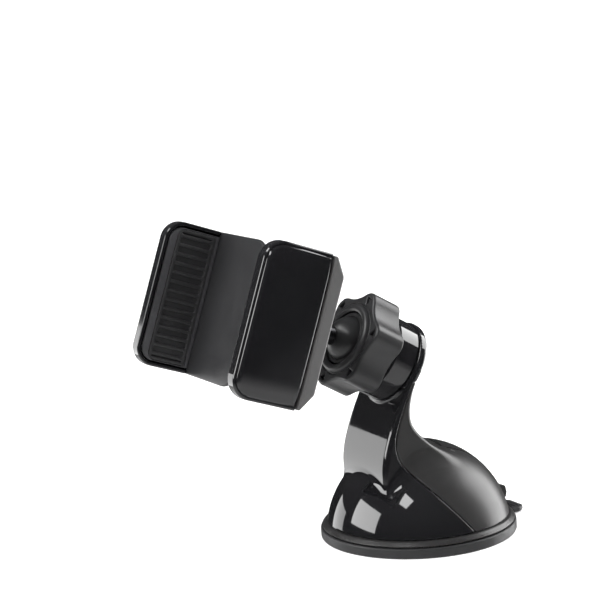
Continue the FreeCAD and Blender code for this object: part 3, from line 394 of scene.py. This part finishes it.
def cup_shape(x, y, z):
    """The rubber cup: a disc with a round rim, hollow on top, with its boss and pull tab."""
    radial = distance_from_axis(x, y)
    rim = ring_section(radial, z, (-CUP_RADIUS, 0), (CUP_RADIUS, CUP_EDGE), 0.6)
    hollow = ring_section(radial, z, (HUB_HOLE, CUP_FLOOR), (CUP_HOLLOW, 12), 0.8)
    rim = without(rim, hollow, 0.4)
    boss = ring_section(radial, z, (-BOSS_RADIUS, 0.5), (BOSS_RADIUS, BOSS_TOP), 0.6)
    cup = either(rim, boss, 0.6)
    tab = rounded_box(x, y, z, (-TAB_HALF, 30, TAB_LOW), (TAB_HALF, TAB_REACH, TAB_TOP), 0.6)
    slant = (np.abs(x) - TAB_HALF + (y - TAB_REACH + 2.5) * 0.9) * 0.74
    tab = both(tab, slant, 0.8)
    ribs = np.min([np.abs(y - place) for place in TAB_RIBS], axis=0) - RIB_RADIUS
    ribs = both(ribs, np.abs(z - TAB_TOP) - RIB_RADIUS, 0.2)
    ribs = both(ribs, np.abs(x) - TAB_RIB_HALF, 0.2)
    cup = either(cup, either(tab, ribs, 0.15), 0.8)
    return both(cup, 0.01 - z)


def flange_shape(x, y, z):
    """The frame over the cup: bevelled flange, spigot for the shells, two posts and a bridge."""
    radial = distance_from_axis(x, y)
    band = ring_section(radial, z, (HUB_HOLE, CUP_EDGE + 0.45), (CUP_RADIUS, FLANGE_TOP), 0.25)
    bevel = (radial - (CUP_RADIUS - 1.9)) * 0.74 + (z - FLANGE_TOP) * 0.67
    band = both(band, bevel, 0.35)
    neck = ring_section(radial, z, (HUB_HOLE, CUP_EDGE + 0.05), (CUP_RADIUS - 1.0, 5.0), 0.1)
    band = either(band, neck, 0.1)
    spigot = ring_section(radial, z, (SPIGOT_INNER, 5.0), (SPIGOT_OUTER, FLANGE_TOP + 2.6), 0.2)
    band = either(band, spigot, 0.2)
    posts = rounded_box(x, np.abs(y), z, (-POST_HALF, POST_IN, 5),
                        (POST_HALF, POST_OUT, BRIDGE_TOP), 0.4)
    bridge = rounded_box(x, y, z, (-POST_HALF, -POST_OUT, BRIDGE_LOW),
                         (POST_HALF, POST_OUT, BRIDGE_TOP), 0.4)
    bridge = without(bridge, radial - STUD_HOLE, 0.2)
    return either(band, either(posts, bridge, 0.5), 0.4)


carve("suction_cup_skin", cup_shape, (-36, -36, -0.2), (36, 43.9, 10), 0.45, ROW, "base",
      RUBBER, ["suction_cup"])
carve("base_flange", flange_shape, (-36, -36, 3.4), (36, 36, 22.4), 0.45, ROW, "base",
      COVER, ["base_frame"])


# ---- arm and dome ---------------------------------------------------------------------------

ARM_FACE = -15.8
HEAD_REAR = -19.2
HEAD_ROUND = 1.4
ARM_REAR_ROUND = 1.8
SCREW_SINK = 3.1
SINK_DEPTH = 1.6
EDGE_BEVEL = 1.1
NECK_ROUND = 5.0
FRONT_NECK = 1.6
# between these two y the neck's fillet grows from the front one to the full one
NECK_GROWS = (-22, -10)
SEAM_TOP = 58.4
SEAM_GAP = 0.16
LIP = 0.30
FRONT_LIP = 0.60
LEVER_SLOT_HALF = 9.3
LEVER_SLOT_FRONT = 5.0
LEVER_SLOT_TOP = 37.0


def socket_point(along, up):
    """(y, z) of a place given along the socket's axis and up across it."""
    place = NUT_CENTRE + along * SOCKET_AXIS + up * SOCKET_UP
    return place[1], place[2]


# seen from the side: the arm's front and back, and the seam between the two shells
ARM_FRONT = Curve([socket_point(ARM_FACE, 0), (-12.0, 54.5), (-16.8, 45.0), (-20.2, 36.5),
                   (-21.8, 29.5), (-20.8, 16.0)])
ARM_REAR = Curve([(7.0, 16.0), (3.0, 30.5), (-5.0, 38.3), (-8.8, 43.2), (-9.6, 47.8),
                  (-8.9, 52.2), socket_point(HEAD_REAR, -5), socket_point(HEAD_REAR, 0)])
SEAM = Curve([(-8.0, SEAM_TOP), (-9.4, 56.0), (-11.2, 52.4), (-15.2, 43.4), (-16.6, 37.6),
              (-15.4, 31.6), (-12.2, 26.4), (-7.0, 19.0), (-2.0, 12.6), (3.6, 5.6), (5.6, 3.0)])


def socket_parts(y, z):
    """(up across the socket's axis, along it) of a point."""
    dy, dz = y - NUT_CENTRE[1], z - NUT_CENTRE[2]
    return (dy * SOCKET_UP[1] + dz * SOCKET_UP[2], dy * SOCKET_AXIS[1] + dz * SOCKET_AXIS[2])


def outer_skin(x, y, z):
    """Dome, arm and head together."""
    up, along = socket_parts(y, z)
    side = np.abs(x) - ARM_HALF
    front = -ARM_FRONT.behind(y, z)
    rear = ARM_REAR.behind(y, z)
    arm = both(rear, side, ARM_REAR_ROUND)
    bevel = (front + side + EDGE_BEVEL) * math.sqrt(0.5)
    arm = both(arm, both(front, bevel, 0.5), 0.25)
    arm = both(arm, up)
    radial = np.sqrt(x * x + up * up)
    head = both(radial - ARM_HALF, HEAD_REAR - along, HEAD_ROUND)
    head = both(head, along - ARM_FACE, 0.45)
    sink = both(radial - SCREW_SINK, along - HEAD_REAR - SINK_DEPTH, 0.1)
    upper = without(either(arm, head, 0.5), sink, 0.2)
    dome = np.sqrt(x * x + y * y + z * z) - DOME_RADIUS
    return either(upper, dome, np.interp(y, NECK_GROWS, (FRONT_NECK, NECK_ROUND)))


def ahead_of_seam(y, z):
    """Negative on the front shell's side of the seam."""
    return np.minimum(SEAM.behind(y, z), SEAM_TOP - z)


def shell_of(outer, x, y, z):
    """The outer skin with the dome's inside taken away."""
    hollow = DOME_RADIUS - WALL - np.sqrt(x * x + y * y + z * z)
    return both(both(outer, hollow, 0.2), FLANGE_TOP + 0.05 - z, 0.2)


def front_shape(x, y, z):
    """The gloss shell: the front of dome and arm, and the head."""
    outer = outer_skin(x, y, z)
    shell = shell_of(outer, x, y, z)
    return both(shell, ahead_of_seam(y, z) + SEAM_GAP / 2, FRONT_LIP)


def rear_shape(x, y, z):
    """The satin shell: the back of dome and arm, with the lever's slot."""
    outer = outer_skin(x, y, z)
    shell = both(shell_of(outer, x, y, z), SEAM_GAP / 2 - ahead_of_seam(y, z), LIP)
    slot = both(both(np.abs(x) - LEVER_SLOT_HALF, LEVER_SLOT_FRONT - y), z - LEVER_SLOT_TOP)
    return without(shell, slot, 0.35)


carve("front_shell_skin", front_shape, (-34, -34, 5.4), (34, 11, 78.4), 0.5, ROW, "base",
      GLOSS, ["front_shell"])
carve("rear_cover_skin", rear_shape, (-34, -19, 5.4), (34, 34, 66), 0.5, ROW, "base",
      COVER, ["rear_cover"])


# ---- clamp nut ------------------------------------------------------------------------------

NUT_HALF = 6.0
NUT_RADIUS = 18.6
LOBES = 6
LOBE_TURN = math.radians(15.0)
SCALLOP_OUT = 31.8
SCALLOP_RADIUS = 16.2
MOUTH_RADIUS = 9.9
RIM_RADIUS = 13.0
RIM_TOP = 7.4
POCKET_INNER = 13.9
POCKET_OUTER = 16.7
POCKET_DEPTH = 1.2
THREAD_DEPTH = 0.34


def nut_shape(x, y, z):
    """The clamp nut: six lobes, a rim around its mouth, wedge pockets and a threaded bore."""
    radial = distance_from_axis(x, y)
    outer = radial - NUT_RADIUS
    for k in range(LOBES):
        angle = LOBE_TURN + math.pi / LOBES + k * 2 * math.pi / LOBES
        from_scallop = distance_from_axis(x - SCALLOP_OUT * math.cos(angle),
                                          y - SCALLOP_OUT * math.sin(angle))
        outer = both(outer, SCALLOP_RADIUS - from_scallop, 1.5)
    nut = both(both(outer, z - NUT_HALF, 0.9), -z - NUT_HALF, 0.7)
    rim = ring_section(radial, z, (MOUTH_RADIUS, 3.0), (RIM_RADIUS, RIM_TOP), 1.25)
    groove = ring_section(radial, z, (RIM_RADIUS - 0.3, NUT_HALF - 0.35),
                          (RIM_RADIUS + 0.5, NUT_HALF + 1), 0.2)
    nut = either(without(nut, groove, 0.15), rim, 0.3)
    for k in range(LOBES):
        angle = LOBE_TURN + k * 2 * math.pi / LOBES
        out = x * math.cos(angle) + y * math.sin(angle)
        across = np.abs(y * math.cos(angle) - x * math.sin(angle))
        wedge = (across - 0.62 * (out - POCKET_INNER)) * 0.85
        pocket = both(both(wedge, out - POCKET_OUTER, 0.3), NUT_HALF - POCKET_DEPTH - z, 0.1)
        nut = without(nut, pocket, 0.25)
    # a thread of 1 mm pitch behind a smooth mouth, which narrows towards the phone
    turn = np.arctan2(y, x) / (2 * math.pi)
    wave = np.abs((z - turn) % 1.0 - 0.5) * 2
    thread = THREAD_DEPTH * np.clip(wave, 0.1, 0.9)
    cone = MOUTH_RADIUS + np.clip((6.4 - z) / 5.6, 0, 1) * 1.7
    bore = radial - (cone + thread * (z > 2))
    return without(nut, bore * 0.9, 0.12)


carve("clamp_nut_body", nut_shape, (-18.8, -18.8, -6.2), (18.8, 18.8, 7.6), 0.36, SOCKET, "nut",
      NUT, ["clamp_nut"])


# ---- jaws -----------------------------------------------------------------------------------

# Each jaw is written as the right one: x outwards from the mount's middle, y away from the
# phone, z up. The left jaw is its mirror image.
GRIP_HALF = 35.45
JAW_OUTER = 42.0
JAW_REACH = 21.35
JAW_HEIGHT = 26.2
JAW_REAR = 3.4
COVER_INNER = 40.2
WALL_INNER = 36.6
PAD_FACE = 35.42
PAD_FRAME_FACE = 35.68
PAD_FRONT = -16.5
PAD_REAR = -1.6
PAD_HALF = 23.7
PAD_GAP = 0.05
RIB_PITCH = 3.29
POCKET_HALF = 1.12
POCKET_MIDDLE = -9.05
POCKET_LONG_HALF = 6.2
TRIM_REAR = 8.75
PLATE_CORNER = 10.0
PLATE_THICK = 1.5
PLATE_INNER = -1.5


def jaw_outline(y, z, inset, corner, rear=JAW_REAR):
    """A jaw's side view: round at its two front corners, straight along its rear."""
    flat = both(-(JAW_REACH - inset) - y, np.abs(z) - (JAW_HEIGHT - inset), corner)
    return both(flat, y - rear, 0.35)


def shell_shape(x, y, z):
    """The jaw's wall, with a recess for the pad and its frame and a groove around them."""
    outline = jaw_outline(y, z, 0, 7.0)
    slab = both(both(outline, x - COVER_INNER, 0.8), GRIP_HALF - x, 0.5)
    recess = jaw_outline(y, z, 1.4, 5.6, 6.0)
    recess = both(recess, x - WALL_INNER, 0.2)
    groove = both(np.abs(jaw_outline(y, z, 1.7, 5.3, 6.0)) - 0.25, x - WALL_INNER - 0.35, 0.1)
    back = both(-y - 0.02, x - WALL_INNER, 0.05)
    slab = without(slab, np.minimum(recess, back), 0.3)
    return without(slab, both(groove, y + 0.4, 0.1), 0.1)


def cover_shape(x, y, z):
    """The outer panel, slightly crowned and rolled off towards its two ends."""
    outline = jaw_outline(y, z, 0.55, 6.45)
    roll = 0.016 * np.maximum(np.abs(z) - 17.5, 0) ** 2
    crown = 0.35 * ((y + 9) / 13) ** 2 + 0.30 * (z / 26) ** 2 + roll
    skin = (x - (JAW_OUTER - 0.02) + crown) * 0.99
    return both(both(outline, skin, 1.7), COVER_INNER + 0.12 - x, 0.2)


def trim_shape(x, y, z):
    """The strip behind the panel, whose ends slant in towards the rear."""
    height = np.abs(z)
    ends = ((height - JAW_HEIGHT + 0.6) * 0.58 + (y - 4.6) * 0.81)
    flat = both(height - JAW_HEIGHT + 0.45, ends, 0.5)
    flat = both(flat, both(y - TRIM_REAR, JAW_REAR + 0.22 - y, 0.3), 0.5)
    crown = 0.10 * (y - 3.6)
    return both(both(flat, (x - JAW_OUTER + 0.3 + crown) * 0.99, 0.9), WALL_INNER - x, 0.25)


def pad_outline(y, z, gap, corner, rear_corner):
    """The pad's side view, made gap larger all round."""
    front = both(PAD_FRONT - gap - y, np.abs(z) - PAD_HALF - gap, corner)
    return both(front, y - PAD_REAR - gap, rear_corner)


def pad_frame_shape(x, y, z):
    """The light frame around the pad."""
    outline = jaw_outline(y, z, 2.0, 5.0, -0.1)
    opening = pad_outline(y, z, PAD_GAP, 3.0, 1.0)
    plate = both(both(outline, x - WALL_INNER, 0.05), PAD_FRAME_FACE - x, 0.3)
    return without(plate, opening, 0.25)


def grip_pad_shape(x, y, z):
    """The soft pad, with a row of long pockets that leaves ribs between them."""
    outline = pad_outline(y, z, -PAD_GAP, 2.9, 0.9)
    pad = both(both(outline, x - WALL_INNER, 0.05), PAD_FACE - x, 0.3)
    rows = np.abs((z + RIB_PITCH / 2) % RIB_PITCH - RIB_PITCH / 2)
    pocket = both(rows - POCKET_HALF, np.abs(y - POCKET_MIDDLE) - POCKET_LONG_HALF, 0.55)
    pocket = both(pocket, x - 36.25, 0.1)
    pocket = both(pocket, np.abs(z) - 22.6, 0.3)
    return without(pad, pocket, 0.28)


def plate_shape(front):
    """A slide plate whose front face is at y = front."""
    def shape(x, y, z):
        flat = both(PLATE_INNER - x, np.abs(z) - JAW_HEIGHT, PLATE_CORNER)
        flat = both(flat, x - WALL_INNER - 0.2, 0.1)
        return both(both(flat, y - front - PLATE_THICK, 0.45), front - y, 0.45)
    return shape


for side, name, plate_front in ((-1, "left", 0.0), (1, "right", 1.7)):
    own = local_frame(RIGHT * side, CRADLE_DEPTH_AXIS, CRADLE_UP, PLATE_CENTRE)
    rides = name + "_jaw"
    jaw_pieces = (
        ("jaw_shell", "body", shell_shape, (35, -21.6, -26.4), (40.4, 3.7, 26.4), 0.4,
         "gloss_plastic", GLOSS),
        ("jaw_cover", "panel", cover_shape, (40, -21.2, -26), (42.2, 3.7, 26), 0.4,
         "gloss_plastic", GLOSS),
        ("jaw_trim", "strip", trim_shape, (36.4, 3.4, -26.2), (42.2, 8.9, 26.2), 0.4,
         "satin_plastic", TRIM),
        ("pad_frame", "ring", pad_frame_shape, (35.4, -20.2, -25), (36.8, 0.1, 25), 0.3,
         "grey_plastic", FRAME_GREY),
        ("grip_pad", "ribs", grip_pad_shape, (35.2, -16.8, -24), (36.8, -1.3, 24), 0.28,
         "soft_rubber", RUBBER),
        ("slide_plate", "sheet", plate_shape(plate_front), (-1.8, plate_front - 0.2, -26.4),
         (37, plate_front + 1.7, 26.4), 0.42, "satin_plastic", PLATE),
    )
    for part, kind, shape, low, high, cell, slot, material in jaw_pieces:
        node = name + "_" + part
        carve(node + "_" + kind, shape, low, high, cell, own, rides, material, [node])


# ---- carried-over CAD pieces ----------------------------------------------------------------

# every node that isn't named here is a screw, pin or spring
CAD_LOOKS = {
    "lock_lever": COVER, "socket_boss": GLOSS, "clamp_collet": SATIN, "ball_core": STEEL,
    "ball_shell": SATIN, "ball_stem": DARK_STEEL, "cradle_housing": SATIN,
    "housing_cover": SATIN, "pinion": FRAME_GREY, "left_rack": FRAME_GREY,
    "right_rack": FRAME_GREY,
}
for node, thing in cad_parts.items():
    look = CAD_LOOKS.get(node, STEEL)
    thing.data.materials.clear()
    thing.data.materials.append(look)


# ---- floor, light and camera ----------------------------------------------------------------

FLOOR_RADIUS = 1.7
COVE = 0.8
WALL_TOP = 3.0
COVE_STEPS = 16
ROUND_STEPS = 72


def floor():
    """A pale floor that curves up into a wall all round, out of the camera's sight."""
    outline = [(0.4, 0.0), (1.0, 0.0), (FLOOR_RADIUS, 0.0)]
    for k in range(1, COVE_STEPS + 1):
        turn = k / COVE_STEPS * math.pi / 2
        outline.append((FLOOR_RADIUS + COVE * math.sin(turn), COVE - COVE * math.cos(turn)))
    outline.append((FLOOR_RADIUS + COVE, WALL_TOP))
    verts = [(0, 0, 0)]
    for radius, height in outline:
        for k in range(ROUND_STEPS):
            turn = 2 * math.pi * k / ROUND_STEPS
            verts.append((radius * math.cos(turn), radius * math.sin(turn), height))
    faces = [(0, 1 + k, 1 + (k + 1) % ROUND_STEPS) for k in range(ROUND_STEPS)]
    for ring in range(len(outline) - 1):
        low = 1 + ring * ROUND_STEPS
        high = low + ROUND_STEPS
        for k in range(ROUND_STEPS):
            after = (k + 1) % ROUND_STEPS
            faces.append((low + k, high + k, high + after, low + after))
    mesh = bpy.data.meshes.new("floor")
    mesh.from_pydata(verts, [], faces)
    mesh.shade_smooth()
    sheet = add_object("floor", mesh)
    n = Nodes("pale_floor")
    n.link(n.blend_colour(n.noise(3, 3, 0.5), (0.87, 0.87, 0.87), (0.90, 0.90, 0.90)),
           n.shader.inputs["Base Color"])
    n.shader.inputs["Roughness"].default_value = 0.6
    n.shader.inputs["Emission Color"].default_value = (1, 1, 1, 1)
    n.shader.inputs["Emission Strength"].default_value = 0.30
    mesh.materials.append(n.material)
    sheet.visible_glossy = False


MIDDLE = Vector((0, -0.025, 0.055))


def softbox(name, azimuth, elevation, distance, size, radiance, seen=True):
    """A rectangular light aimed at the object's middle; azimuth 0 is in front and 90 on the right.

    seen says whether glossy surfaces reflect it.
    """
    turn, lift = math.radians(azimuth), math.radians(elevation)
    away = Vector((math.sin(turn) * math.cos(lift), -math.cos(turn) * math.cos(lift),
                   math.sin(lift)))
    data = bpy.data.lights.new(name, "AREA")
    data.shape = "RECTANGLE"
    data.size, data.size_y = size
    data.energy = radiance * math.pi * size[0] * size[1]
    lamp = add_object(name, data)
    lamp.location = MIDDLE + away * distance
    lamp.rotation_euler = (-away).to_track_quat("-Z", "Y").to_euler()
    lamp.visible_glossy = seen
    lamp.visible_camera = False


AZIMUTH = math.radians(61.924)
ELEVATION = math.radians(9.530)
ROLL = math.radians(-3.657)
CAMERA_PLACE = (0.55666, -0.33992, 0.19691)
LENS = 110.93
SENSOR = 36


def camera():
    """The camera, placed and turned as for the reference view."""
    ca, sa = math.cos(AZIMUTH), math.sin(AZIMUTH)
    ce, se = math.cos(ELEVATION), math.sin(ELEVATION)
    back = Vector((sa * ce, -ca * ce, se))
    right = Vector((ca, sa, 0))
    up = back.cross(right)
    turned_right = math.cos(ROLL) * right + math.sin(ROLL) * up
    turned_up = -math.sin(ROLL) * right + math.cos(ROLL) * up
    data = bpy.data.cameras.new("camera")
    data.lens = LENS
    data.sensor_width = SENSOR
    data.clip_start = 0.01
    eye = add_object("camera", data)
    matrix = Matrix((turned_right, turned_up, back)).transposed().to_4x4()
    matrix.translation = Vector(CAMERA_PLACE)
    eye.matrix_world = matrix
    bpy.context.scene.camera = eye


# brightness of the surround against height, 0 straight down, 0.5 level and 1 straight up
SURROUND = ((0.27, (1.0, 1.0, 1.0)), (0.35, (0.30, 0.30, 0.30)), (0.40, (0.02, 0.02, 0.02)),
            (0.52, (0.03, 0.03, 0.03)), (1.0, (0.20, 0.20, 0.21)))


def studio_air():
    """A surround that is white far below, dark near the horizon and dim overhead."""
    world = bpy.data.worlds.new("studio")
    world.use_nodes = True
    tree = world.node_tree
    coordinates = tree.nodes.new("ShaderNodeTexCoord")
    split = tree.nodes.new("ShaderNodeSeparateXYZ")
    ramp = tree.nodes.new("ShaderNodeValToRGB")
    lift = tree.nodes.new("ShaderNodeMapRange")
    lift.inputs["From Min"].default_value = -1.0
    tree.links.new(coordinates.outputs["Generated"], split.inputs["Vector"])
    tree.links.new(split.outputs["Z"], lift.inputs["Value"])
    tree.links.new(lift.outputs["Result"], ramp.inputs["Fac"])
    tree.links.new(ramp.outputs["Color"], tree.nodes["Background"].inputs["Color"])
    stops = ramp.color_ramp.elements
    for stop, (height, colour) in zip(list(stops), (SURROUND[0], SURROUND[-1])):
        stop.position = height
        stop.color = (*colour, 1)
    for height, colour in SURROUND[1:-1]:
        stops.new(height).color = (*colour, 1)
    bpy.context.scene.world = world


floor()
camera()
studio_air()
softbox("front_window", -17, 17.5, 1.0, (0.72, 0.444), 7)
softbox("overhead_strip", -2, 57, 1.0, (1.25, 0.27), 9)
softbox("left_wall", -64, -6, 1.1, (0.50, 0.549), 2.8)
softbox("rear_wall", 178, 9, 1.1, (0.75, 1.51), 6)
softbox("ceiling", 60, 80, 1.6, (2.0, 2.0), 1.25, seen=False)
bpy.context.scene.view_settings.view_transform = "Standard"
